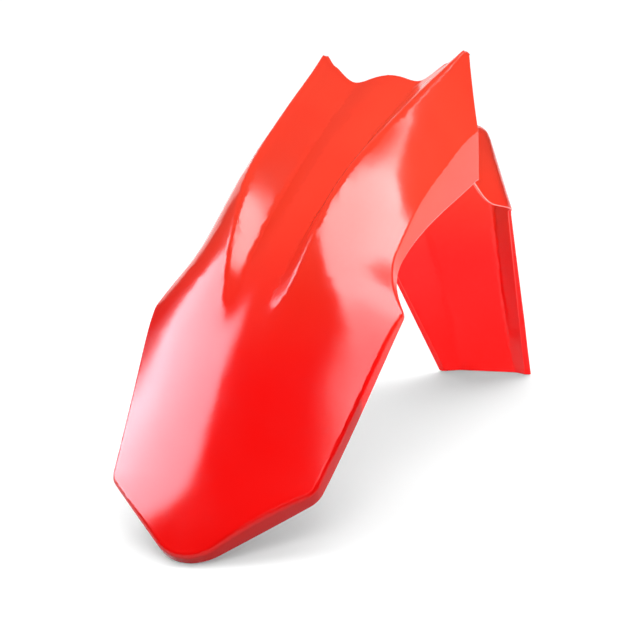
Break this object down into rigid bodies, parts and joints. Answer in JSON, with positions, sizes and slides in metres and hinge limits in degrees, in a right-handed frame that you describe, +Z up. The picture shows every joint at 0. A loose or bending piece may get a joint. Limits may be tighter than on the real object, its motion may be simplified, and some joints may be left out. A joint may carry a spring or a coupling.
{
  "type": "motorcycle front mudguard",
  "caption": "Front mudguard for an off-road motorcycle: a pointed, ridged tongue over the wheel, a clamp pad that bolts under the fork, and a splash flap behind.",
  "frame": {"origin": "centre of the clamp bolt holes, on the top face of the clamp pad", "axes": "+Z up along the clamp bolts, +Y to the rear, towards the flap, and X across, with the mudguard standing on its nose and the foot of its flap"},
  "size_m": [0.2292, 0.6141, 0.3426],
  "materials": {
    "shell": "gloss"
  },
  "bodies": {
    "root": {"front_mudguard": "shell"}
  },
  "joints": []
}
